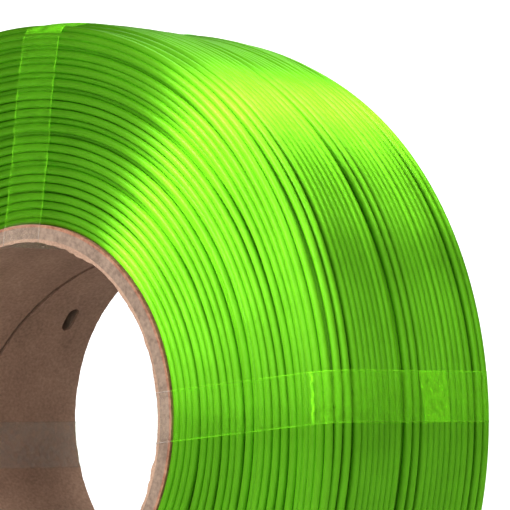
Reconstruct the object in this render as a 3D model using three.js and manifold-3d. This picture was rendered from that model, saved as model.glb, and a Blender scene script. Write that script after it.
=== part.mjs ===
// A refill coil of 3-D printing filament: the strand is wound on a spirally wound cardboard core
// with no flanges, and four clear tape straps hold the turns together.
//
// Millimetres, +Z up. The coil stands upright on its rim: its axis is Y, and the origin is the
// centre of the bore, half way along the core. The front of the coil faces -Y.
// Angles run about the axis from +X (3 o'clock, seen from the front) towards +Z (12 o'clock).

import * as THREE from 'three';
import * as BufferGeometryUtils from 'three/addons/utils/BufferGeometryUtils.js';
import Module from 'manifold-3d';

const wasm = await Module();
wasm.setup();

// --- Driving dimensions ----------------------------------------------------------------------

// Cardboard core
const CORE_LENGTH = 54;
const CORE_BORE_RADIUS = 38.1;
const CORE_OUTER_RADIUS = 41.8;
const PLY_COUNT = 6;
const GLUE_LINE = 0.05;
const CORE_FACETS = 60;

// The butt seam of each ply climbs the tube as a helix
const SEAM_ANGLE = THREE.MathUtils.degToRad(22.2);
const SEAM_GAP = 0.35;
const LINER_SEAM_AT_FRONT = 255;
const SEAM_STAGGER = 137;

// Slot punched through the core wall
const SLOT_LENGTH = 6;
const SLOT_WIDTH = 3.2;
const SLOT_AT = 143.5;
const SLOT_FROM_FRONT = 44.6;

// Wound filament
const FILAMENT_DIAMETER = 1.75;
const WINDING_WIDTH = 52.7;
const WINDING_OUTER_RADIUS = 85.4;
const WINDING_CORNER = 1.5 * FILAMENT_DIAMETER;
const WINDING_FACETS = 90;

// Clear tape straps, looped once around the section of the coil
const TAPE_WIDTH = 10.6;
const TAPE_THICKNESS = 0.2;
const TAPE_CORNER = 0.6;
const CLEARANCE = 0.3;

// Each strap runs outwards at a bearing, and passes the axis at an offset towards larger angles
const STRAPS = {
  tape_strap_right: { bearing: 5.5, offset: -3.2 },
  tape_strap_top: { bearing: 83.4, offset: 6.4 },
  tape_strap_left: { bearing: 186.5, offset: 1.7 },
  tape_strap_bottom: { bearing: 270, offset: 0 },
};

// --- Materials -------------------------------------------------------------------------------

const filamentMaterial = new THREE.MeshStandardMaterial({ color: 0x66c81e, roughness: 0.28, metalness: 0.15 });
const linerMaterial = new THREE.MeshStandardMaterial({ color: 0x78604f, roughness: 0.85, metalness: 0 });
const boardMaterial = new THREE.MeshStandardMaterial({ color: 0xbda091, roughness: 0.92, metalness: 0 });
const tapeMaterial = new THREE.MeshStandardMaterial({
  color: 0xeef2ea,
  roughness: 0.2,
  metalness: 0,
  transparent: true,
  opacity: 0.3,
});

// --- Helpers ---------------------------------------------------------------------------------

const radians = THREE.MathUtils.degToRad;

// The solid that a closed geometry bounds
function solidOf(geometry) {
  const bare = geometry.clone();
  bare.deleteAttribute('normal');
  bare.deleteAttribute('uv');
  const merged = BufferGeometryUtils.mergeVertices(bare);
  const mesh = new wasm.Mesh({
    numProp: 3,
    vertProperties: new Float32Array(merged.attributes.position.array),
    triVerts: new Uint32Array(merged.index.array),
  });
  return new wasm.Manifold(mesh);
}

function geometryOf(solid) {
  const mesh = solid.getMesh();
  const geometry = new THREE.BufferGeometry();
  geometry.setAttribute('position', new THREE.BufferAttribute(new Float32Array(mesh.vertProperties), 3));
  geometry.setIndex(new THREE.BufferAttribute(new Uint32Array(mesh.triVerts), 1));
  geometry.computeVertexNormals();
  return geometry;
}

function namedMesh(name, geometry, material) {
  const mesh = new THREE.Mesh(geometry, material);
  mesh.name = name;
  return mesh;
}

// A solid of revolution about Y from a list of [radius, y] corners, which run anticlockwise
function turned(corners, facets) {
  const profile = corners.map(([radius, y]) => new THREE.Vector2(radius, y));
  profile.push(profile[0].clone());
  return new THREE.LatheGeometry(profile, facets);
}

// The point on a cylinder about the axis, where angle 0 is +X and a quarter turn is +Z
function onCylinder(radius, angle, y) {
  return new THREE.Vector3(radius * Math.cos(angle), y, radius * Math.sin(angle));
}

// --- Cardboard core --------------------------------------------------------------------------

const HALF_CORE = CORE_LENGTH / 2;
const PLY_THICKNESS = (CORE_OUTER_RADIUS - CORE_BORE_RADIUS - (PLY_COUNT - 1) * GLUE_LINE) / PLY_COUNT;

// A thin helical blade that parts a ply along its seam. It is made straight, as a flat bar whose
// length is counted in radians, and then wound around the axis from the back rim to the front.
function seamBlade(innerRadius, outerRadius, seamAtFront) {
  const overrun = 0.05;
  const risePerRadian = CORE_BORE_RADIUS * Math.tan(SEAM_ANGLE);
  const span = CORE_LENGTH / risePerRadian + 2 * overrun;
  const section = new THREE.Shape([
    new THREE.Vector2(innerRadius, -SEAM_GAP / 2),
    new THREE.Vector2(outerRadius, -SEAM_GAP / 2),
    new THREE.Vector2(outerRadius, SEAM_GAP / 2),
    new THREE.Vector2(innerRadius, SEAM_GAP / 2),
  ]);
  const bar = new THREE.ExtrudeGeometry(section, { depth: span, steps: 18, bevelEnabled: false });
  const last = radians(seamAtFront) + overrun;
  const position = bar.attributes.position;
  for (let i = 0; i < position.count; i += 1) {
    const remaining = span - position.getZ(i);
    const y = position.getY(i) - HALF_CORE + (remaining - overrun) * risePerRadian;
    const wound = onCylinder(position.getX(i), last - remaining, y);
    position.setXYZ(i, wound.x, wound.y, wound.z);
  }
  return solidOf(bar);
}

// The slot's punch: a bar of oval section that points outwards from the axis
function slotPunch() {
  const halfStraight = (SLOT_LENGTH - SLOT_WIDTH) / 2;
  const oval = new THREE.Shape();
  oval.absarc(halfStraight, 0, SLOT_WIDTH / 2, -Math.PI / 2, Math.PI / 2);
  oval.absarc(-halfStraight, 0, SLOT_WIDTH / 2, Math.PI / 2, (3 * Math.PI) / 2);
  const bar = new THREE.ExtrudeGeometry(oval, {
    depth: 2 * (CORE_OUTER_RADIUS - CORE_BORE_RADIUS),
    bevelEnabled: false,
    curveSegments: 8,
  });
  const around = onCylinder(1, radians(SLOT_AT) - Math.PI / 2, 0);
  const along = new THREE.Vector3(0, 1, 0);
  const outwards = new THREE.Vector3().crossVectors(around, along);
  bar.applyMatrix4(new THREE.Matrix4().makeBasis(around, along, outwards));
  const start = onCylinder(CORE_BORE_RADIUS - 2, radians(SLOT_AT), SLOT_FROM_FRONT - HALF_CORE);
  bar.translate(start.x, start.y, start.z);
  return solidOf(bar);
}

function plyGeometry(index) {
  const innerRadius = CORE_BORE_RADIUS + index * (PLY_THICKNESS + GLUE_LINE);
  const outerRadius = innerRadius + PLY_THICKNESS;
  const tube = turned(
    [
      [innerRadius, -HALF_CORE],
      [outerRadius, -HALF_CORE],
      [outerRadius, HALF_CORE],
      [innerRadius, HALF_CORE],
    ],
    CORE_FACETS,
  );
  const blade = seamBlade(innerRadius - 1, outerRadius + 1, LINER_SEAM_AT_FRONT + index * SEAM_STAGGER);
  return geometryOf(solidOf(tube).subtract(blade).subtract(slotPunch()));
}

function plyName(index) {
  if (index === 0) return 'core_liner';
  if (index === PLY_COUNT - 1) return 'core_outer_ply';
  return `core_body_ply_${index}`;
}

function cardboardCore() {
  const core = new THREE.Group();
  for (let index = 0; index < PLY_COUNT; index += 1) {
    const material = index === 0 ? linerMaterial : boardMaterial;
    core.add(namedMesh(plyName(index), plyGeometry(index), material));
  }
  return core;
}

// --- Wound filament --------------------------------------------------------------------------

// The outline of all the turns together: a ring of rectangular section whose two outer corners
// are rounded, because the last turns of each layer drop inwards there
function filamentWinding() {
  const innerRadius = CORE_OUTER_RADIUS + CLEARANCE;
  const halfWidth = WINDING_WIDTH / 2;
  const cornerSteps = 5;
  const corners = [
    [innerRadius, halfWidth],
    [innerRadius, -halfWidth],
  ];
  for (const side of [-1, 1]) {
    for (let i = 0; i <= cornerSteps; i += 1) {
      const turn = (i / cornerSteps) * (Math.PI / 2);
      const angle = side < 0 ? turn - Math.PI / 2 : turn;
      corners.push([
        WINDING_OUTER_RADIUS - WINDING_CORNER + WINDING_CORNER * Math.cos(angle),
        side * (halfWidth - WINDING_CORNER) + WINDING_CORNER * Math.sin(angle),
      ]);
    }
  }
  return namedMesh('filament_winding', turned(corners, WINDING_FACETS), filamentMaterial);
}

// --- Tape straps -----------------------------------------------------------------------------

function roundedRectangle(path, low, high, corner) {
  path.moveTo(low.x + corner, low.y);
  path.lineTo(high.x - corner, low.y);
  path.absarc(high.x - corner, low.y + corner, corner, -Math.PI / 2, 0);
  path.lineTo(high.x, high.y - corner);
  path.absarc(high.x - corner, high.y - corner, corner, 0, Math.PI / 2);
  path.lineTo(low.x + corner, high.y);
  path.absarc(low.x + corner, high.y - corner, corner, Math.PI / 2, Math.PI);
  path.lineTo(low.x, low.y + corner);
  path.absarc(low.x + corner, low.y + corner, corner, Math.PI, (3 * Math.PI) / 2);
  return path;
}

// One strap: across the front, over the rim, across the back and through the bore, where it
// bridges the curved wall as a flat chord
function tapeStrap(name, { bearing, offset }) {
  const reach = Math.abs(offset) + TAPE_WIDTH / 2;
  const innerFace = Math.sqrt((CORE_BORE_RADIUS - CLEARANCE) ** 2 - reach ** 2);
  const outerFace = WINDING_OUTER_RADIUS + CLEARANCE;
  const sideFace = HALF_CORE + CLEARANCE;
  const inside = [new THREE.Vector2(innerFace, -sideFace), new THREE.Vector2(outerFace, sideFace)];
  const outside = [
    new THREE.Vector2(innerFace - TAPE_THICKNESS, -sideFace - TAPE_THICKNESS),
    new THREE.Vector2(outerFace + TAPE_THICKNESS, sideFace + TAPE_THICKNESS),
  ];
  const loop = roundedRectangle(new THREE.Shape(), ...outside, TAPE_CORNER + TAPE_THICKNESS);
  loop.holes.push(roundedRectangle(new THREE.Path(), ...inside, TAPE_CORNER));
  const strip = new THREE.ExtrudeGeometry(loop, { depth: TAPE_WIDTH, bevelEnabled: false, curveSegments: 4 });
  strip.translate(0, 0, offset - TAPE_WIDTH / 2);

  const strap = namedMesh(name, strip, tapeMaterial);
  strap.rotation.y = -radians(bearing);
  return strap;
}

// --- Assembly --------------------------------------------------------------------------------

const coil = new THREE.Group();
coil.add(cardboardCore());
coil.add(filamentWinding());
for (const [name, place] of Object.entries(STRAPS)) {
  coil.add(tapeStrap(name, place));
}

export default coil;
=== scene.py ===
"""A refill coil of silk filament on a cardboard core, held by four clear tape straps.

The strand is laid turn by turn, as a winding machine does it: each turn rests on the turns below
it, slides into their grooves and is pulled taut. Lengths are in millimetres while shapes are being
worked out, and become metres when a mesh is made. Angles run about the coil's axis, which is Y,
from +X (3 o'clock) towards +Z (12 o'clock). The front of the coil faces -Y.
"""

import math

import bpy
import numpy as np
from mathutils import Matrix, Vector, noise


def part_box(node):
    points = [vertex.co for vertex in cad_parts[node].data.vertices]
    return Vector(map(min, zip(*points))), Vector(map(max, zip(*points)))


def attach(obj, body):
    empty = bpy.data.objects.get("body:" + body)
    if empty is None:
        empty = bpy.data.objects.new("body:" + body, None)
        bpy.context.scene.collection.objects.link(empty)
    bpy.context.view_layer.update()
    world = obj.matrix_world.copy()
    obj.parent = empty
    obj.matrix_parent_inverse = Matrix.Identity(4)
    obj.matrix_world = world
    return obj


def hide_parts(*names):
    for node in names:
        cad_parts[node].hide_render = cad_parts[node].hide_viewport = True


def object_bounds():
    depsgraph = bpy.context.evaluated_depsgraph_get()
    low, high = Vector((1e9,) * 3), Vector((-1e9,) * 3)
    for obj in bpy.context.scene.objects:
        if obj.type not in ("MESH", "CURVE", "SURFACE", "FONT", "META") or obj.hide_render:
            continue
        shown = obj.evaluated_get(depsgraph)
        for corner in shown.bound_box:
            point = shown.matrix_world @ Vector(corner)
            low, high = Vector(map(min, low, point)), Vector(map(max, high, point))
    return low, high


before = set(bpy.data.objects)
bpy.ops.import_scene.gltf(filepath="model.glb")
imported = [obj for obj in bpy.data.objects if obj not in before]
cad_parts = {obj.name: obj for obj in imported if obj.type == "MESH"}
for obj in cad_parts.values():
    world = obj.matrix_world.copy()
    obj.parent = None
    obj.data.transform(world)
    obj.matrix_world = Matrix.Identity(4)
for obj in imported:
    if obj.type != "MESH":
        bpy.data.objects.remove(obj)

cad_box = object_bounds()
MM = 0.001


# --- Sizes that the frame gives ----------------------------------------------------------------

def ring_radii(node):
    """The inner and outer radius of a ring node about the coil's axis, in millimetres."""
    points = [v.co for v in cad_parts[node].data.vertices]
    radii = [math.hypot(p.x, p.z) / MM for p in points]
    return min(radii), max(radii)


def half_width(node):
    low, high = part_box(node)
    return (high[1] - low[1]) / 2 / MM


BORE_RADIUS, LINER_RADIUS = ring_radii("core_liner")
CORE_RADIUS = ring_radii("core_outer_ply")[1]
HALF_CORE = half_width("core_liner")
COIL_RADIUS = ring_radii("filament_winding")[1]
HALF_COIL = HALF_CORE - 0.3


def strap_place(node):
    """A strap's outward and sideways directions, how far off the axis it runs, and its width."""
    points = np.array([(v.co.x, v.co.z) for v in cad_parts[node].data.vertices]) / MM
    outer = points[np.hypot(*points.T) > COIL_RADIUS - 5]
    centre = outer.mean(0)
    side = np.linalg.svd(outer - centre)[2][0]
    outward = np.array([side[1], -side[0]])
    outward *= np.sign(outward @ centre)
    side = np.array([-outward[1], outward[0]])
    width = np.ptp(outer @ side)
    return outward, side, float(centre @ side), float(width)


# --- Camera, light and floor -------------------------------------------------------------------

CAMERA_PLACE = (0.5737, -0.6045, 0.0029)
CAMERA_YAW = math.radians(41.38)
CAMERA_PITCH = math.radians(2.28)
SENSOR_WIDTH = 36
FOCAL_LENGTH = 267.8

FLOOR_REACH = 1.2
LIGHT_DISTANCE = 2.0

# Each softbox: its direction from the coil, its width and height in metres, and its radiance
SOFTBOXES = {
    "front_softbox": ((-0.1, -0.75, 0.6), (0.55, 2.0), 11),
    "fill_softbox": ((0.4, -0.85, 0.25), (2.0, 0.9), 1.6),
    "left_softbox": ((-0.42, -0.6, 0.68), (0.7, 1.6), 0.9),
    "overhead_softbox": ((0.36, 0.08, 1), (0.5, 2.0), 6),
    "back_softbox": ((-0.36, 0.5, 0.75), (0.6, 1.4), 2.2),
    "side_softbox": ((0.8, -0.35, 0.5), (0.45, 1.9), 2.2),
}

# How the world fades, as (from, to, strength at from, strength at to): away from the view
# direction, by the cosine of the angle to it, and away from level, by the height on a unit sphere
BACKDROP_FADE = (0.9, 0.985, 0.33, 1.1)
HEIGHT_FADE = (0.12, 0.3, 1.0, 0.3)


def view_direction():
    level = math.cos(CAMERA_PITCH)
    return Vector((-math.sin(CAMERA_YAW) * level, math.cos(CAMERA_YAW) * level,
                   math.sin(CAMERA_PITCH)))


def add_camera():
    """The long lens looks at the upper right quarter of the coil from its front right."""
    forward = view_direction()
    right = Vector((math.cos(CAMERA_YAW), math.sin(CAMERA_YAW), 0))
    up = right.cross(forward)
    data = bpy.data.cameras.new("camera")
    data.sensor_width = SENSOR_WIDTH
    data.lens = FOCAL_LENGTH
    data.clip_start = 0.05
    data.clip_end = 50
    camera = bpy.data.objects.new("camera", data)
    turned = Matrix((right, up, -forward)).transposed().to_4x4()
    camera.matrix_world = Matrix.Translation(CAMERA_PLACE) @ turned
    bpy.context.collection.objects.link(camera)
    bpy.context.scene.camera = camera


def add_softbox(name, direction, size, radiance):
    """A rectangular light that faces the coil."""
    place = LIGHT_DISTANCE * Vector(direction).normalized()
    data = bpy.data.lights.new(name, "AREA")
    data.shape = "RECTANGLE"
    data.size, data.size_y = size
    data.energy = math.pi * size[0] * size[1] * radiance
    light = bpy.data.objects.new(name, data)
    light.location = place
    light.rotation_euler = (-place).to_track_quat("-Z", "Y").to_euler()
    bpy.context.collection.objects.link(light)


def add_backdrop():
    """A world that is white behind the coil, grey elsewhere, and dimmer well above and below."""
    world = bpy.data.worlds.new("studio")
    world.use_nodes = True
    nodes = world.node_tree.nodes
    links = world.node_tree.links
    direction = nodes.new("ShaderNodeTexCoord").outputs["Generated"]

    towards = nodes.new("ShaderNodeVectorMath")
    towards.operation = "DOT_PRODUCT"
    towards.inputs[1].default_value = view_direction()
    links.new(direction, towards.inputs[0])
    backdrop = nodes.new("ShaderNodeMapRange")
    links.new(towards.outputs["Value"], backdrop.inputs["Value"])

    split = nodes.new("ShaderNodeSeparateXYZ")
    links.new(direction, split.inputs["Vector"])
    height = nodes.new("ShaderNodeMath")
    height.operation = "ABSOLUTE"
    links.new(split.outputs["Z"], height.inputs[0])
    dimming = nodes.new("ShaderNodeMapRange")
    links.new(height.outputs["Value"], dimming.inputs["Value"])

    for fade, values in ((backdrop, BACKDROP_FADE), (dimming, HEIGHT_FADE)):
        fade.interpolation_type = "SMOOTHSTEP"
        for limit, value in zip(("From Min", "From Max", "To Min", "To Max"), values):
            fade.inputs[limit].default_value = value
    strength = nodes.new("ShaderNodeMath")
    strength.operation = "MULTIPLY"
    links.new(backdrop.outputs["Result"], strength.inputs[0])
    links.new(dimming.outputs["Result"], strength.inputs[1])
    links.new(strength.outputs["Value"], nodes["Background"].inputs["Strength"])
    nodes["Background"].inputs["Color"].default_value = (1, 1, 1, 1)
    bpy.context.scene.world = world


def add_floor():
    mesh = bpy.data.meshes.new("floor")
    corners = [(x * FLOOR_REACH, y * FLOOR_REACH, 0)
               for x, y in ((-1, -1), (1, -1), (1, 1), (-1, 1))]
    mesh.from_pydata(corners, [], [(0, 1, 2, 3)])
    floor = bpy.data.objects.new("floor", mesh)
    floor.location.z = cad_box[0][2]
    bpy.context.collection.objects.link(floor)
    mesh.materials.append(plain_material("pale_floor", (0.5, 0.5, 0.5), 0.7))


def add_studio():
    """Backdrop, softboxes and floor, and a view with brighter lights and deeper shades."""
    view = bpy.context.scene.view_settings
    view.view_transform = "Standard"
    view.exposure = 0.38
    view.gamma = 0.84
    add_backdrop()
    for name, (direction, size, radiance) in SOFTBOXES.items():
        add_softbox(name, direction, size, radiance)
    add_floor()


# --- Materials ---------------------------------------------------------------------------------

def plain_material(name, color, roughness):
    material = bpy.data.materials.new(name)
    material.use_nodes = True
    shader = material.node_tree.nodes["Principled BSDF"]
    shader.inputs["Base Color"].default_value = (*color, 1)
    shader.inputs["Roughness"].default_value = roughness
    return material


def noise_node(material, scale, detail=4.0, stretch=(1, 1, 1)):
    """A noise texture in the object's own coordinates; scale is in features for each metre."""
    nodes, links = material.node_tree.nodes, material.node_tree.links
    place = nodes.new("ShaderNodeTexCoord")
    mapping = nodes.new("ShaderNodeMapping")
    mapping.inputs["Scale"].default_value = stretch
    texture = nodes.new("ShaderNodeTexNoise")
    texture.inputs["Scale"].default_value = scale
    texture.inputs["Detail"].default_value = detail
    links.new(place.outputs["Object"], mapping.inputs["Vector"])
    links.new(mapping.outputs["Vector"], texture.inputs["Vector"])
    return texture.outputs["Fac"]


def ramp_node(material, source, stops):
    """Maps a value to colours; stops are (position, colour)."""
    nodes, links = material.node_tree.nodes, material.node_tree.links
    ramp = nodes.new("ShaderNodeValToRGB")
    while len(ramp.color_ramp.elements) < len(stops):
        ramp.color_ramp.elements.new(1.0)
    for element, (position, color) in zip(ramp.color_ramp.elements, stops):
        element.position = position
        element.color = (*color, 1)
    links.new(source, ramp.inputs["Fac"])
    return ramp.outputs["Color"]


def math_node(material, operation, first, second):
    node = material.node_tree.nodes.new("ShaderNodeMath")
    node.operation = operation
    for socket, value in zip(node.inputs, (first, second)):
        if isinstance(value, (int, float)):
            socket.default_value = value
        else:
            material.node_tree.links.new(value, socket)
    return node.outputs["Value"]


def blend_nodes(material, first, second, share):
    """The first value, with the second mixed in by its share."""
    return math_node(material, "ADD", math_node(material, "MULTIPLY", first, 1 - share),
                     math_node(material, "MULTIPLY", second, share))


def add_bump(material, height, distance, strength):
    nodes, links = material.node_tree.nodes, material.node_tree.links
    bump = nodes.new("ShaderNodeBump")
    bump.inputs["Distance"].default_value = distance
    bump.inputs["Strength"].default_value = strength
    links.new(height, bump.inputs["Height"])
    links.new(bump.outputs["Normal"], nodes["Principled BSDF"].inputs["Normal"])


def silk_material():
    """Silk filament: its surface is brushed along the strand, so highlights spread across it."""
    material = plain_material("silk_green", (0.2, 0.59, 0.02), 0.47)
    nodes, links = material.node_tree.nodes, material.node_tree.links
    shader = nodes["Principled BSDF"]
    shader.inputs["Metallic"].default_value = 0.88
    shader.inputs["IOR"].default_value = 1.8
    shader.inputs["Specular Tint"].default_value = (0.6, 1.0, 0.15, 1)
    shader.inputs["Anisotropic"].default_value = 1.0
    shader.inputs["Anisotropic Rotation"].default_value = 0.25
    shader.inputs["Coat Weight"].default_value = 0.26
    shader.inputs["Coat Roughness"].default_value = 0.22
    tangent = nodes.new("ShaderNodeTangent")
    tangent.direction_type = "RADIAL"
    tangent.axis = "Y"
    links.new(tangent.outputs["Tangent"], shader.inputs["Tangent"])
    mottle = noise_node(material, 60, detail=3)
    stops = ((0.3, (0.176, 0.53, 0.016)), (0.7, (0.222, 0.645, 0.024)))
    links.new(ramp_node(material, mottle, stops), shader.inputs["Base Color"])
    return material


def liner_material():
    """Grey-brown kraft paper with fine fibres."""
    material = plain_material("kraft_liner", (0.38, 0.25, 0.18), 0.85)
    shader = material.node_tree.nodes["Principled BSDF"]
    fibres = noise_node(material, 1800, detail=5, stretch=(1, 0.7, 1))
    patches = noise_node(material, 90, detail=4)
    mixed = blend_nodes(material, fibres, patches, 0.4)
    stops = ((0.3, (0.26, 0.17, 0.12)), (0.5, (0.38, 0.25, 0.18)), (0.72, (0.49, 0.34, 0.25)))
    material.node_tree.links.new(ramp_node(material, mixed, stops), shader.inputs["Base Color"])
    add_bump(material, fibres, 0.00012, 0.5)
    return material


def board_material(name, low, middle, high):
    """Rough cut board, with dark and light specks."""
    material = plain_material(name, middle, 0.9)
    shader = material.node_tree.nodes["Principled BSDF"]
    specks = noise_node(material, 1100, detail=8)
    patches = noise_node(material, 160, detail=3)
    mixed = blend_nodes(material, specks, patches, 0.35)
    stops = ((0.36, low), (0.5, middle), (0.66, high))
    material.node_tree.links.new(ramp_node(material, mixed, stops), shader.inputs["Base Color"])
    add_bump(material, specks, 0.0002, 0.6)
    return material


MIRROR_HEAD_ON, MIRROR_AT_LOW_ANGLE = 0.004, 0.15


def tape_material():
    """Clear film: it mirrors a little, most at a low angle, and hazes at its edges and creases.

    The haze's colour is painted bounce light from the surface below: green over the turns, pale
    brown over the core.
    """
    material = plain_material("clear_tape", (0.5, 0.5, 0.5), 0.5)
    nodes, links = material.node_tree.nodes, material.node_tree.links
    clear = nodes.new("ShaderNodeBsdfTransparent")
    mirror = nodes.new("ShaderNodeBsdfGlossy")
    mirror.inputs["Color"].default_value = (0.5, 1.0, 0.25, 1)
    mirror.inputs["Roughness"].default_value = 0.2
    facing = nodes.new("ShaderNodeLayerWeight")
    facing.inputs["Blend"].default_value = 0.5
    grazing = math_node(material, "POWER", facing.outputs["Facing"], 5.0)
    low_angle = math_node(material, "MULTIPLY", grazing, MIRROR_AT_LOW_ANGLE)
    reflect = math_node(material, "ADD", low_angle, MIRROR_HEAD_ON)
    film = nodes.new("ShaderNodeMixShader")
    links.new(reflect, film.inputs["Fac"])
    links.new(clear.outputs["BSDF"], film.inputs[1])
    links.new(mirror.outputs["BSDF"], film.inputs[2])

    marks = nodes.new("ShaderNodeAttribute")
    marks.attribute_name = "haze"
    under = nodes.new("ShaderNodeAttribute")
    under.attribute_name = "painted_bounce_over_turns"
    # The haze's colour is painted bounce light: green where the film lies over the turns, pale
    # brown over the core
    stops = ((0.4, (0.6, 0.53, 0.47)), (0.6, (0.36, 1.0, 0.04)))
    haze_with_painted_bounce = nodes["Principled BSDF"]
    links.new(ramp_node(material, under.outputs["Fac"], stops), haze_with_painted_bounce.inputs["Base Color"])
    haze_with_painted_bounce.inputs["Specular IOR Level"].default_value = 0
    streaks = noise_node(material, 700, detail=3)
    mottle = math_node(material, "ADD", math_node(material, "MULTIPLY", streaks, 1.6), -0.3)
    haze = math_node(material, "MULTIPLY", marks.outputs["Fac"], mottle)
    both = nodes.new("ShaderNodeMixShader")
    links.new(haze, both.inputs["Fac"])
    links.new(film.outputs["Shader"], both.inputs[1])
    links.new(haze_with_painted_bounce.outputs["BSDF"], both.inputs[2])
    links.new(both.outputs["Shader"], nodes["Material Output"].inputs["Surface"])
    return material


# --- The strand is wound -----------------------------------------------------------------------

STRAND_RADIUS = 0.875

# A turn is worked out at COLUMNS stations round the coil, starting at the seam
COLUMNS = 180
COLUMN = np.arange(COLUMNS)
SEAM_DEGREES = -90
COLUMN_DEGREES = SEAM_DEGREES + 360 * COLUMN / COLUMNS

# At each station the surface is a row of radii, one for each cell along Y. CAP is how far a
# strand's outline is from its centre's level, in its own cell and NEAR cells to each side.
CELL = 0.125
CELLS = round(2 * HALF_COIL / CELL) + 1
CELL_Y = np.arange(CELLS) * CELL - HALF_COIL
NEAR = 7
REACH = np.arange(-NEAR, NEAR + 1)
CAP = np.sqrt(np.maximum(STRAND_RADIUS ** 2 - (REACH * CELL) ** 2, 0))
PROFILE_STRIDE = 9

# The strand's centre keeps within WALL of the middle. It slides up to MOST_SLIDE cells away from
# its guide, and moves at most MOST_MOVE cells from one station to the next.
WALL = HALF_COIL - STRAND_RADIUS
MOST_SLIDE = 7
MOST_MOVE = 2
SIDE_STEPS = np.arange(-MOST_SLIDE, MOST_SLIDE + 1)
BENDING_COST = 3.0
START_COST = 5
WALL_COST = 1000

# How a turn is straightened: passes of tension, and the widths of the smoothing in stations
TAUT_PASSES = 120
SIDEWAYS_SMOOTHING, RADIAL_SMOOTHING = 3, 7

# How closely a turn follows its guide: in the layers, in the last layer and at the walls
GUIDE_PULL, LAST_LAYER_PULL, WALL_PULL = 0.15, 2, 3

# Turns in a layer lie about PITCH apart, with places tried between LEAST_STEP and MOST_STEP
LAYERS = 27
PITCH, PITCH_SPREAD = 1.84, 0.1
LEAST_STEP, MOST_STEP, STEPS_TRIED = 1.55, 2.6, 9
HEIGHT_WEIGHT = 0.5

# A turn at a wall leaves a gap that is drawn from a gamma distribution and varies round the coil.
# It gets there over the first part of the turn. Such turns stack up until they are WALL_LEAD above
# the layers (below them if it is negative), or LAST_WALL_LEAD above in the last stacks.
WALL_GAP_SHAPE, WALL_GAP_SCALE = 0.7, 0.45
WALL_ARRIVAL = 0.17
WALL_LEAD, LAST_WALL_LEAD = -0.4, 0.5
LAST_STACKS = 2

# How the last layer lies on its visible stretch: groups of turns as (first y from the front,
# number of turns, spacing), the spread of their places, and the part of a turn used to get there
LAST_LAYER = ((2.2, 3, 2.3), (9.4, 8, 1.77), (26.1, 2, 3.0), (31.9, 8, 1.75), (47.0, 2, 2.9),
              (52.2, 1, 0))
LAST_LAYER_SPREAD = 0.13
LAST_LAYER_ARRIVAL = 0.3

# Once off the winder, the last turns at the outer corners slip down and inwards, less at the back
SLIP_DOWN, SLIP_INWARDS, BACK_SLIP = 1.9, 0.8, 0.35
SLIP_REACH = 4.0

# The first turns stand out towards the ends of the core, which fades over FLARE_HEIGHT or so
FLARE_GAP, FLARE_REACH, FLARE_HEIGHT = 0.35, 1.4, 3.0

# The outside swells between the straps and is pulled in at them. It also reaches further out at
# 12 o'clock and less far at 3 o'clock than a round coil does.
SWELL, PULLED_IN = 0.9, 0.2
MORE_AT_TOP, LESS_AT_RIGHT = 0.75, 0.3


def nearest_cell(y):
    return np.clip(np.round((y + HALF_COIL) / CELL).astype(int), 0, CELLS - 1)


def eased(progress):
    return progress ** 2 * (3 - 2 * progress)


def smoothed(values, before, sigma):
    """Gaussian smoothing along the strand, which carries on from the values before."""
    half = 3 * sigma
    kernel = np.exp(-0.5 * (np.arange(-half, half + 1) / sigma) ** 2)
    padded = np.concatenate([before[-half:], values, np.full(half, values[-1])])
    return np.convolve(padded, kernel / kernel.sum(), "valid")


def bed_profile(surface):
    """The mean radius at which a strand would come to rest, for each y."""
    sampled = np.pad(surface[::PROFILE_STRIDE], ((0, 0), (NEAR, NEAR)), mode="edge")
    stacked = [sampled[:, NEAR + k:NEAR + k + CELLS] + CAP[k + NEAR] for k in REACH]
    return np.max(stacked, axis=0).mean(0)


def settle_sideways(surface, guide, last_y, guide_pull):
    """Where the strand slides to: a path near the guide's that lies low and bends little."""
    stiffness = BENDING_COST * CELL ** 2
    base = np.round((guide + HALF_COIL) / CELL).astype(int)
    cells = base[:, None] + SIDE_STEPS
    under = np.clip(cells[:, :, None] + REACH, 0, CELLS - 1)
    bed = (surface[COLUMN[:, None, None], under] + CAP).max(2)
    y = cells * CELL - HALF_COIL
    cost = bed - bed.min(1, keepdims=True) + guide_pull * (y - guide[:, None]) ** 2
    cost += WALL_COST * np.maximum(np.abs(y) - WALL - 0.02, 0)
    states = len(SIDE_STEPS)
    moves = range(-MOST_MOVE, MOST_MOVE + 1)
    total = cost[0] + START_COST * np.abs(y[0] - last_y)
    came_from = np.zeros((COLUMNS, states), int)
    for i in range(1, COLUMNS):
        drift = base[i] - base[i - 1]
        options = np.full((len(moves), states), np.inf)
        for row, move in enumerate(moves):
            low, high = max(0, move - drift), min(states, states + move - drift)
            before = total[low - move + drift:high - move + drift]
            options[row, low:high] = before + stiffness * move ** 2
        chosen = options.argmin(0)
        came_from[i] = COLUMN[:states] - (chosen - MOST_MOVE) + drift
        total = options[chosen, COLUMN[:states]] + cost[i]
    state = int(np.argmin(total))
    path = np.zeros(COLUMNS, int)
    for i in range(COLUMNS - 1, -1, -1):
        path[i] = state
        state = came_from[i, state]
    return y[COLUMN, path]


def pulled_taut(rest, last_radius):
    """A strand under tension: it touches its bed, and runs straight across the hollows."""
    taut = np.concatenate([last_radius, rest, rest[-1:]])
    shrink = math.cos(2 * math.pi / COLUMNS)
    for _ in range(TAUT_PASSES):
        taut[1:-1] = np.maximum(rest, 0.5 * (taut[:-2] + taut[2:]) * shrink)
        taut[-1] = taut[-2]
    return taut[1:-1]


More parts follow.
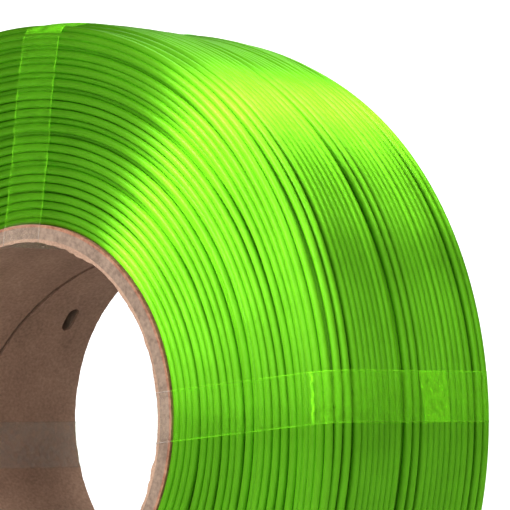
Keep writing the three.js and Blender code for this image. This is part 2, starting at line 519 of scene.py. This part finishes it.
class Winder:
    """Lays one turn after another and remembers the surface that they make."""

    def __init__(self):
        self.surface = np.full((COLUMNS, CELLS), CORE_RADIUS)
        self.y = np.full(COLUMNS, -WALL)
        self.radius = np.full(COLUMNS, CORE_RADIUS + STRAND_RADIUS)
        self.guide_y = -WALL
        self.turns = []

    def lay(self, guide, guide_pull):
        """One turn along the guide's path."""
        y = settle_sideways(self.surface, guide, self.y[-1], guide_pull)
        y = np.clip(smoothed(y, self.y, SIDEWAYS_SMOOTHING), -WALL, WALL)
        cells = np.clip(nearest_cell(y)[:, None] + REACH, 0, CELLS - 1)
        across = y[:, None] - CELL_Y[cells]
        cap = np.sqrt(np.maximum(STRAND_RADIUS ** 2 - across ** 2, 0))
        touched = np.abs(across) < STRAND_RADIUS
        under = self.surface[COLUMN[:, None], cells]
        rest = np.where(touched, under + cap, 0).max(1)
        radius = smoothed(pulled_taut(rest, self.radius[-1:]), self.radius, RADIAL_SMOOTHING)
        raised = np.where(touched, radius[:, None] + cap, 0)
        self.surface[COLUMN[:, None], cells] = np.maximum(under, raised)
        self.y, self.radius = y, radius
        self.turns.append((y, radius))

    def lay_to(self, next_y, arrival=1.0, guide_pull=GUIDE_PULL):
        """One turn that moves sideways to next_y over the first part of the turn."""
        progress = np.clip((COLUMN + 0.5) / COLUMNS / arrival, 0, 1)
        if arrival < 1:
            progress = eased(progress)
        self.lay(self.guide_y + (next_y - self.guide_y) * progress, guide_pull)
        self.guide_y = next_y

    def level(self):
        """Mean bed radius away from the walls."""
        profile = bed_profile(self.surface)
        return profile[nearest_cell(-0.7 * WALL):nearest_cell(0.7 * WALL)].mean()

    def bed_at(self, y):
        return bed_profile(self.surface)[nearest_cell(y)]


def lay_layer(winder, side, rng):
    """Turns side by side up to a wall, each in the lowest place that is within reach."""
    while True:
        profile = bed_profile(winder.surface)
        wanted = winder.guide_y + side * PITCH * (1 + rng.normal(0, PITCH_SPREAD))
        options = winder.guide_y + side * np.linspace(LEAST_STEP, MOST_STEP, STEPS_TRIED)
        options = options[np.abs(options) <= WALL - 2 * STRAND_RADIUS]
        if not len(options):
            return
        height = profile[nearest_cell(options)]
        score = HEIGHT_WEIGHT * (height - height.min()) + (options - wanted) ** 2
        winder.lay_to(options[int(np.argmin(score))])


def lay_wall_turns(winder, side, lead, rng):
    """Turns stacked unevenly against a wall, until they are above the layers by the lead."""
    while winder.bed_at(side * WALL) < winder.level() + lead:
        depth = rng.gamma(WALL_GAP_SHAPE, WALL_GAP_SCALE)
        lobe = np.cos(np.radians(COLUMN_DEGREES - rng.uniform(0, 360)))
        gap = depth * (0.75 + 0.25 * lobe)
        arrival = eased(np.clip(COLUMN / COLUMNS / WALL_ARRIVAL, 0, 1))
        start = winder.guide_y
        winder.lay(start + (side * (WALL - gap) - start) * arrival, WALL_PULL)
        winder.guide_y = side * (WALL - gap[-1])


def lay_last_layer(winder, side, rng):
    """The loose last layer, in the groups that show on the coil."""
    places = [start + i * spacing - HALF_CORE
              for start, count, spacing in LAST_LAYER for i in range(count)]
    places = [place + rng.normal(0, LAST_LAYER_SPREAD) for place in places]
    for place in places[::side]:
        winder.lay_to(place, LAST_LAYER_ARRIVAL, LAST_LAYER_PULL)


def slumped(y, radius):
    """How the turns lie off the winder: slipped at the outer corners, flared next to the core."""
    fullness = np.clip((radius - CORE_RADIUS) / (COIL_RADIUS - CORE_RADIUS), 0, 1) ** 7
    at_corner = np.exp(-((WALL - np.abs(y)) / SLIP_REACH) ** 1.5)
    slip = fullness * at_corner * np.where(y < 0, 1.0, BACK_SLIP)
    gap = WALL + FLARE_GAP - np.abs(y)
    height = radius - CORE_RADIUS - STRAND_RADIUS
    flare = gap * np.exp(-height / FLARE_HEIGHT - (gap / FLARE_REACH) ** 2)
    return y + np.sign(y) * (flare - SLIP_INWARDS * slip), radius - SLIP_DOWN * slip


def give_between_straps():
    """How far the outside stands off its mean radius at each station."""
    outwards = [strap_place(node)[0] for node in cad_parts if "strap" in node]
    bearings = [math.degrees(math.atan2(z, x)) for x, z in outwards]
    bearings = np.sort(np.mod(bearings, 360))
    bearings = np.append(bearings, bearings[0] + 360)
    around = (COLUMN_DEGREES - bearings[0]) % 360 + bearings[0]
    before = np.searchsorted(bearings, around, side="right") - 1
    part = (around - bearings[before]) / (bearings[before + 1] - bearings[before])
    angle = np.radians(COLUMN_DEGREES)
    oval = (MORE_AT_TOP * np.maximum(np.sin(angle), 0) ** 2
            - LESS_AT_RIGHT * np.maximum(np.cos(angle), 0) ** 2)
    return SWELL * np.sin(math.pi * part) ** 2 - PULLED_IN + oval


def wind():
    """Winds the whole strand. Returns each turn's y and radius, one row for each turn."""
    rng = np.random.default_rng(3)
    winder = Winder()
    side = 1
    for layer in range(1, LAYERS):
        lay_layer(winder, side, rng)
        lead = LAST_WALL_LEAD if layer >= LAYERS - LAST_STACKS else WALL_LEAD
        lay_wall_turns(winder, side, lead, rng)
        side = -side
    lay_last_layer(winder, side, rng)
    turns_y = np.array([y for y, radius in winder.turns])
    turns_radius = np.array([radius for y, radius in winder.turns])

    # The layers are spread so that the outermost turns reach the coil's radius
    top = np.sort(turns_radius, 0)[-8:].mean(0) + STRAND_RADIUS
    spread = (COIL_RADIUS + give_between_straps() - CORE_RADIUS) / (top - CORE_RADIUS)
    heights = (turns_radius - CORE_RADIUS - STRAND_RADIUS) * spread
    return slumped(turns_y, CORE_RADIUS + STRAND_RADIUS + heights)


# --- Meshes ------------------------------------------------------------------------------------

def new_piece(name, vertices, faces, material, nodes):
    mesh = bpy.data.meshes.new(name)
    mesh.from_pydata(vertices, [], faces)
    mesh.shade_smooth()
    mesh.materials.append(material)
    piece = bpy.data.objects.new(name, mesh)
    bpy.context.collection.objects.link(piece)
    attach(piece, "root")
    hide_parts(*nodes)
    return piece


# The turns near a face of the coil are made one by one, down to these depths. A plain ring stands
# for the others, and keeps these distances from the ends, the core and the outside.
OUTER_DEPTH, FRONT_DEPTH, BACK_DEPTH = 3.8, 3.0, 2.6
RING_FROM_END, RING_FROM_CORE, RING_FROM_OUTSIDE = 3.6, 1, 4.8
RING_FACETS = 120
SIDES = 10


def tube_arrays(y, radius):
    """The wall of a tube along one stretch of the strand, as vertices and faces."""
    count = len(y)
    angle = math.radians(SEAM_DEGREES) + 2 * math.pi * np.arange(count) / COLUMNS
    outward = np.stack([np.cos(angle), np.zeros(count), np.sin(angle)], 1)
    centre = radius[:, None] * outward
    centre[:, 1] = y
    along = np.gradient(centre, axis=0)
    along /= np.linalg.norm(along, axis=1, keepdims=True)
    across = np.cross(along, outward)
    across /= np.linalg.norm(across, axis=1, keepdims=True)
    normal = np.cross(across, along)
    turn = 2 * math.pi * np.arange(SIDES) / SIDES
    rim = (np.cos(turn)[None, :, None] * normal[:, None]
           + np.sin(turn)[None, :, None] * across[:, None])
    vertices = (centre[:, None] + STRAND_RADIUS * rim).reshape(-1, 3) * MM
    ring = np.arange(count - 1)[:, None] * SIDES
    here = np.arange(SIDES)
    ahead = (here + 1) % SIDES
    corners = [ring + here, ring + ahead, ring + ahead + SIDES, ring + here + SIDES]
    return vertices, np.stack(corners, -1).reshape(-1, 4)


def add_turns(name, stretches, material):
    """One piece from several stretches of the strand, each a closed tube."""
    vertices, faces = [], []
    start = 0
    for y, radius in stretches:
        some_vertices, some_faces = tube_arrays(y, radius)
        first_cap = start + np.arange(SIDES)
        last_cap = first_cap + len(some_vertices) - SIDES
        vertices.append(some_vertices)
        faces.extend((some_faces + start).tolist())
        faces.append(first_cap.tolist()[::-1])
        faces.append(last_cap.tolist())
        start += len(some_vertices)
    new_piece(name, np.concatenate(vertices).tolist(), faces, material, ["filament_winding"])


def add_buried_turns(material):
    """One plain ring stands for the turns that are out of sight inside the coil."""
    half = HALF_COIL - RING_FROM_END
    inner, outer = CORE_RADIUS + RING_FROM_CORE, COIL_RADIUS - RING_FROM_OUTSIDE
    section = ((inner, half), (inner, -half), (outer, -half), (outer, half))
    angle = 2 * math.pi * np.arange(RING_FACETS) / RING_FACETS
    vertices = [(radius * math.cos(t) * MM, y * MM, radius * math.sin(t) * MM)
                for t in angle for radius, y in section]
    faces = []
    for i in range(RING_FACETS):
        j = (i + 1) % RING_FACETS
        for k in range(4):
            after = (k + 1) % 4
            faces.append((4 * i + k, 4 * i + after, 4 * j + after, 4 * j + k))
    new_piece("buried_turns", vertices, faces, material, ["filament_winding"])


def runs(chosen):
    """The first and the past-last index of each unbroken run of chosen turns."""
    padded = np.concatenate([[0], chosen.astype(int), [0]])
    return np.flatnonzero(np.diff(padded)).reshape(-1, 2)


def add_winding():
    """The plain ring and the turns around it, in pieces by the face that they lie near."""
    material = silk_material()
    add_buried_turns(material)
    turns_y, turns_radius = wind()
    top = turns_radius.mean(1) > COIL_RADIUS - OUTER_DEPTH
    front = turns_y.min(1) < -WALL + FRONT_DEPTH
    back = turns_y.max(1) > WALL - BACK_DEPTH
    shown = {"front_turns": front & ~top, "back_turns": back & ~top, "outer_turns": top}
    for name, chosen in shown.items():
        stretches = [(turns_y[i:j].ravel(), turns_radius[i:j].ravel()) for i, j in runs(chosen)]
        add_turns(name, stretches, material)
    return turns_y, turns_radius


# --- Cardboard core ----------------------------------------------------------------------------

# The liner's seam is a helix: its slope, its angle at the front rim and its gap
SEAM_CLIMB = math.tan(math.radians(22.2))
SEAM_AT_FRONT = 255
SEAM_GAP = 1.2

LINER_COLUMNS, BOARD_COLUMNS = 480, 360
RIM_STEPS = 3
RIM_ROUGHNESS = 0.07
FRAY_DEPTH = 0.5
SHARP_EDGE = math.radians(40)

SLOT_AT = 143.5
SLOT_FROM_FRONT = 44.6
SLOT_LENGTH, SLOT_WIDTH = 6.0, 3.2
SLOT_END_STEPS = 12

# Torn fibres that lean into the bore at the rims: (angle, width in degrees, height)
BURRS = ((78, 5, 0.35), (69, 3.5, 0.5), (64, 3, 0.4), (-16, 2.5, 0.6), (-21, 2, 0.3),
         (12, 4, 0.2), (40, 6, 0.2))


def wobble(angle, y, scale, seed):
    """Smooth noise on a cylinder, between -1 and 1."""
    place = Vector((math.cos(angle) * scale + seed, math.sin(angle) * scale,
                    y * scale / BORE_RADIUS))
    return noise.noise(place)


def burr_height(angle):
    """How far the frayed rim leans in: ragged patches, fine fuzz and the torn fibres."""
    height = 0.22 * max(0, wobble(angle, 0, 18, 5) + 0.15) + 0.06 * wobble(angle, 0, 90, 9)
    for at, width, tall in BURRS:
        apart = (math.degrees(angle) - at + 180) % 360 - 180
        height += tall * math.exp(-(apart / width) ** 4) * (0.8 + 0.4 * wobble(angle, 0, 60, 3))
    return height


def ply_section(inner, outer, rows):
    """The outline of a ply's wall as (radius, y): to the back on the inside, and to the front."""
    section = [(inner, y) for y in rows]
    section += [(inner + (outer - inner) * k / RIM_STEPS, rows[-1]) for k in range(1, RIM_STEPS)]
    section += [(outer, y) for y in rows[::-1]]
    section += [(outer + (inner - outer) * k / RIM_STEPS, rows[0]) for k in range(1, RIM_STEPS)]
    return section


def seam_edges(rows, size, last):
    """The faces that close both edges of a ply at its seam; last is its last column's start."""
    faces = []
    for k in range(len(rows) - 1):
        across = 2 * len(rows) + RIM_STEPS - 2 - k
        faces.append((k, k + 1, across - 1, across))
        faces.append((last + across, last + across - 1, last + k + 1, last + k))
    back_rim = range(len(rows) - 1, len(rows) + RIM_STEPS)
    front_rim = [k % size for k in range(size - RIM_STEPS, size + 1)]
    for rim in (back_rim, front_rim):
        faces.append(tuple(rim))
        faces.append(tuple(last + k for k in reversed(rim)))
    return faces


def add_ply(name, radii, rows, columns, seam_gap, material, node):
    """A ply of the core.

    With a seam gap its columns follow the helical seam, where its two edges nearly meet, and its
    bore is frayed at the rims. Without one it is a plain closed ring.
    """
    inner, outer = radii
    section = ply_section(inner, outer, rows)
    size = len(section)
    gap = seam_gap / math.sin(math.atan(SEAM_CLIMB)) / inner
    seamed = seam_gap > 0
    count = columns + 1 if seamed else columns
    vertices = []
    for i in range(count):
        for radius, y in section:
            climbed = (y + HALF_CORE) / (BORE_RADIUS * SEAM_CLIMB)
            start = math.radians(SEAM_AT_FRONT) - climbed if seamed else 0
            angle = start + gap / 2 + (2 * math.pi - gap) * i / columns
            from_rim = HALF_CORE - abs(y)
            if seamed and from_rim < FRAY_DEPTH and radius == inner:
                radius -= burr_height(angle if y < 0 else -angle) * (1 - from_rim / FRAY_DEPTH)
            if from_rim < 0.01:
                y -= math.copysign(RIM_ROUGHNESS * (1 + wobble(angle, radius * 30, 70, 1)), y)
            vertices.append((radius * math.cos(angle) * MM, y * MM, radius * math.sin(angle) * MM))
    faces = []
    for i in range(columns):
        j = (i + 1) % count
        for k in range(size):
            after = (k + 1) % size
            faces.append((i * size + k, j * size + k, j * size + after, i * size + after))
    if seamed:
        faces += seam_edges(rows, size, (count - 1) * size)
    piece = new_piece(name, vertices, faces, material, [node])
    cut_slot(piece)
    piece.data.set_sharp_from_angle(angle=SHARP_EDGE)


def slot_punch():
    """A bar with the slot's rounded outline, which passes through the core's wall."""
    half_straight = (SLOT_LENGTH - SLOT_WIDTH) / 2
    outline = []
    for side in (1, -1):
        for k in range(SLOT_END_STEPS + 1):
            turn = math.radians(-90 + 180 / SLOT_END_STEPS * k)
            outline.append((side * (half_straight + SLOT_WIDTH / 2 * math.cos(turn)),
                            side * SLOT_WIDTH / 2 * math.sin(turn)))
    at = math.radians(SLOT_AT)
    outward = Vector((math.cos(at), 0, math.sin(at)))
    around = Vector((-math.sin(at), 0, math.cos(at)))
    along = Vector((0, 1, 0))
    count = len(outline)
    vertices = [(reach * outward + (SLOT_FROM_FRONT - HALF_CORE + q) * along + p * around) * MM
                for reach in (BORE_RADIUS - 2, CORE_RADIUS + 0.2) for p, q in outline]
    faces = [tuple(range(count)), tuple(range(2 * count - 1, count - 1, -1))]
    faces += [(k, k + count, (k + 1) % count + count, (k + 1) % count) for k in range(count)]
    mesh = bpy.data.meshes.new("slot_punch")
    mesh.from_pydata(vertices, [], faces)
    punch = bpy.data.objects.new("slot_punch", mesh)
    bpy.context.collection.objects.link(punch)
    return punch


def cut_slot(piece):
    """Punches the slot through a ply."""
    punch = slot_punch()
    cut = piece.modifiers.new("slot", "BOOLEAN")
    cut.operation = "DIFFERENCE"
    cut.solver = "EXACT"
    cut.object = punch
    evaluated = piece.evaluated_get(bpy.context.evaluated_depsgraph_get())
    shape = bpy.data.meshes.new_from_object(evaluated)
    piece.modifiers.clear()
    piece.data = shape
    bpy.data.objects.remove(punch)


def add_core():
    """The liner with its seam, and the closed plies of board around it."""
    edge = (0, 0.06, 0.2, 0.5)
    rows = [-HALF_CORE + d for d in edge]
    rows += list(np.linspace(-26, 26, 27))
    rows += [HALF_CORE - d for d in edge[::-1]]
    add_ply("liner", (BORE_RADIUS, LINER_RADIUS), rows, LINER_COLUMNS, SEAM_GAP, liner_material(),
            "core_liner")

    board = board_material("grey_board", (0.2, 0.142, 0.106), (0.265, 0.192, 0.146),
                           (0.33, 0.243, 0.184))
    wrapper = board_material("outer_wrapper", (0.22, 0.1, 0.062), (0.33, 0.165, 0.105),
                             (0.42, 0.25, 0.17))
    rows = [-HALF_CORE, -HALF_CORE + 0.2, -20, -8, 0, 8, 14, 21, HALF_CORE - 0.2, HALF_CORE]
    plies = {f"core_body_ply_{i}": board for i in range(1, 5)}
    plies["core_outer_ply"] = wrapper
    inner = LINER_RADIUS
    for node, material in plies.items():
        outer = ring_radii(node)[1]
        add_ply(node.replace("core_", "board_"), (inner, outer), rows, BOARD_COLUMNS, 0, material,
                node)
        inner = outer


# --- Tape straps -------------------------------------------------------------------------------

FILM = 0.05
FILM_STEP = 0.25
DRAPE_PASSES = 40
STRAP_STEPS = 20
FLANK_POINTS, BORE_POINTS, OVERLAP_POINTS = 140, 27, 40
BEND_DEGREES = (22.5, 45, 67.5)

# How hazy the film is on its runs, and at the overlap and its cut ends
FLANK_HAZE, OUTER_HAZE, BORE_HAZE = 0.05, 0.2, 0.3
OVERLAP_HAZE, CUT_END_HAZE = 0.55, 0.9

# What the edges of the film add to its haze, and how wide they are
EDGE_HAZE, EDGE_WIDTH = 0.6, 0.2

# A crease is a low wavering ridge with a narrower hazy line on it
CREASE_HEIGHT, CREASE_WIDTH = 0.35, 0.35
CREASE_HAZE, CREASE_HAZE_WIDTH = 0.9, 0.25

# Each strap: where its ends overlap on the outside (first y, last y, slant), and the radius of a
# crease in its front run. The first cut leans by FIRST_LEAN of the slant, the last by less.
FIRST_LEAN, LEAN_LOST = 0.55, 0.2
STRAPS = {
    "right": ((3.2, 11.6, 3), 80),
    "top": ((6, 17, 2), None),
    "left": ((-4, 8, 2), None),
    "bottom": ((2, 13, 2), None),
}


def ridge(x, place, width):
    return np.exp(-((x - place) / width) ** 2)


def skyline(places, heights, grid):
    """The height of a row of strands over each grid point; they stand at places."""
    apart = grid[:, None] - places[None, :]
    cap = np.sqrt(np.maximum(STRAND_RADIUS ** 2 - apart ** 2, 0))
    return np.where(np.abs(apart) < STRAND_RADIUS, heights[None, :] + cap, 0).max(1)


def draped(heights):
    """Film pressed onto what is below it: it spans the narrow gaps and sags into wide ones."""
    film = heights.copy()
    for _ in range(DRAPE_PASSES):
        film[1:-1] = np.maximum(heights[1:-1], 0.5 * (film[:-2] + film[2:]))
    return film


def film_path(bearing, turns_y, turns_radius):
    """Height of the film over the front, the back and the outside, at one bearing in degrees."""
    column = round((bearing - SEAM_DEGREES) % 360 / 360 * COLUMNS) % COLUMNS
    y, radius = turns_y[:, column], turns_radius[:, column]
    radii = np.arange(BORE_RADIUS - 1, COIL_RADIUS - STRAND_RADIUS, FILM_STEP)
    across = np.arange(-HALF_COIL + STRAND_RADIUS, HALF_COIL - STRAND_RADIUS, FILM_STEP)
    sides = []
    for sign in (-1, 1):
        height = skyline(radius, sign * y, radii)
        height = np.where(radii < CORE_RADIUS + 0.2, HALF_CORE, height)
        sides.append(draped(height) + FILM)
    outside = draped(skyline(y, radius, across)) + FILM
    return radii, sides, across, outside


def flank_run(w, end, radii, height, edge, crease):
    """The film's run up one face of the coil, w to the side, and round the corner to its end.

    Returns the outward places of its points, their heights off the middle plane and their haze.
    """
    bore = math.sqrt((BORE_RADIUS - 2 * FILM) ** 2 - w ** 2)
    corner = STRAND_RADIUS + FILM
    bend = np.radians(BEND_DEGREES)
    u = np.linspace(bore, end - corner, FLANK_POINTS)
    r = np.hypot(u, w)
    y = np.interp(r, radii, height)
    haze = np.full(len(u), FLANK_HAZE + edge)
    if crease:
        wave = crease + 0.13 * math.sin(2.1 * w) + 0.08 * math.sin(7.3 * w)
        y = y + CREASE_HEIGHT * ridge(r, wave, CREASE_WIDTH)
        haze += CREASE_HAZE * ridge(r, wave, CREASE_HAZE_WIDTH)
    u = np.append(u, u[-1] + corner * np.sin(bend))
    y = np.append(y, y[-1] - corner + corner * np.cos(bend))
    haze = np.append(haze, [FLANK_HAZE + edge] * len(bend))
    return u, y, haze


def add_strap(node, name, overlap, crease, turns_y, turns_radius, material):
    """One loop of film around the coil's section, whose ends overlap on the outside."""
    outward, side, offset, width = strap_place(node)
    bearing = math.degrees(math.atan2(outward[1], outward[0]))
    radii, (front, back), across, outside = film_path(bearing, turns_y, turns_radius)
    steps = np.concatenate([[0, 0.025], np.linspace(0.05, 0.95, STRAP_STEPS - 3), [0.975, 1]])
    side_w = offset + width * (steps - 0.5)
    bore_y = np.linspace(HALF_CORE - 1, -HALF_CORE + 1, BORE_POINTS)
    grid, haze = [], []
    for w in side_w:
        edge = EDGE_HAZE if abs(w - offset) > width / 2 - EDGE_WIDTH else 0.0
        outer = np.sqrt(outside ** 2 - w ** 2)
        front_u, front_y, front_haze = flank_run(w, outer[0], radii, front, edge, crease)
        back_u, back_y, back_haze = flank_run(w, outer[-1], radii, back, edge, None)
        bore_u = np.full(BORE_POINTS, front_u[0])
        u = np.concatenate([front_u, outer, back_u[::-1], bore_u])
        y = np.concatenate([-front_y, across, back_y[::-1], bore_y])
        grid.append(np.stack([u, y, np.full(len(u), w)], 1))
        haze.append(np.concatenate([front_haze, np.full(len(outer), OUTER_HAZE + edge),
                                    back_haze[::-1], np.full(BORE_POINTS, BORE_HAZE)]))
    add_film(name, np.array(grid), np.array(haze), True, outward, side, node, material)

    low, high, slant = overlap
    lean = slant * (side_w - offset)[:, None] / width
    part = np.linspace(0, 1, OVERLAP_POINTS)
    y = (low - FIRST_LEAN * lean) + (high - low + LEAN_LOST * lean) * part
    radius = np.interp(y, across, outside) + 2 * FILM
    sideways = np.broadcast_to(side_w[:, None], y.shape)
    over = np.stack([np.sqrt(radius ** 2 - sideways ** 2), y, sideways], -1)
    haze = np.full(y.shape, OVERLAP_HAZE)
    haze[:, [0, -1]] = CUT_END_HAZE
    add_film(name + "_end", over, haze, False, outward, side, node, material)


def film_faces(rows, size, closed):
    """The faces of a solid between an inner grid of points and the outer one that follows it."""
    faces = []
    above = rows * size
    last = size if closed else size - 1
    for i in range(rows - 1):
        for k in range(last):
            a, b = i * size + k, i * size + (k + 1) % size
            c, d = b + size, a + size
            faces += [(d, c, b, a), (above + a, above + b, above + c, above + d)]
    for i, flip in ((0, 1), (rows - 1, -1)):
        for k in range(last):
            a, b = i * size + k, i * size + (k + 1) % size
            faces.append((a, b, above + b, above + a)[::flip])
    if not closed:
        for k, flip in ((0, -1), (size - 1, 1)):
            for i in range(rows - 1):
                a, b = i * size + k, (i + 1) * size + k
                faces.append((a, b, above + b, above + a)[::flip])
    return faces


def add_film(name, grid, haze, closed, outward, side, node, material):
    """A thin closed solid whose inner face is the grid of (outward, y, sideways) points."""
    rows, size = grid.shape[:2]
    ahead = np.roll(grid, -1, 1)
    behind = np.roll(grid, 1, 1)
    if not closed:
        ahead[:, -1] = grid[:, -1]
        behind[:, 0] = grid[:, 0]
    along = ahead - behind
    normal = np.stack([along[..., 1], -along[..., 0], np.zeros(along.shape[:2])], -1)
    normal /= np.maximum(np.linalg.norm(normal, axis=-1, keepdims=True), 1e-9)
    outer = grid + FILM * normal
    points = np.concatenate([grid.reshape(-1, 3), outer.reshape(-1, 3)])
    world = np.stack([points[:, 0] * outward[0] + points[:, 2] * side[0], points[:, 1],
                      points[:, 0] * outward[1] + points[:, 2] * side[1]], 1) * MM
    faces = film_faces(rows, size, closed)
    piece = new_piece(name, world.tolist(), faces, material, [node])
    # Marks where the film lies over the turns, where its haze gets the painted green bounce light
    painted_bounce_over_turns = np.hypot(points[:, 0], points[:, 2]) > CORE_RADIUS + 0.3
    marks = {"haze": np.tile(haze.ravel(), 2), "painted_bounce_over_turns": painted_bounce_over_turns.astype(float)}
    for label, values in marks.items():
        piece.data.attributes.new(label, "FLOAT", "POINT").data.foreach_set("value", values)


def add_straps(turns_y, turns_radius):
    material = tape_material()
    for where, (overlap, crease) in STRAPS.items():
        add_strap(f"tape_strap_{where}", f"{where}_strap", overlap, crease, turns_y, turns_radius,
                  material)


add_camera()
add_studio()
turns = add_winding()
add_core()
add_straps(*turns)
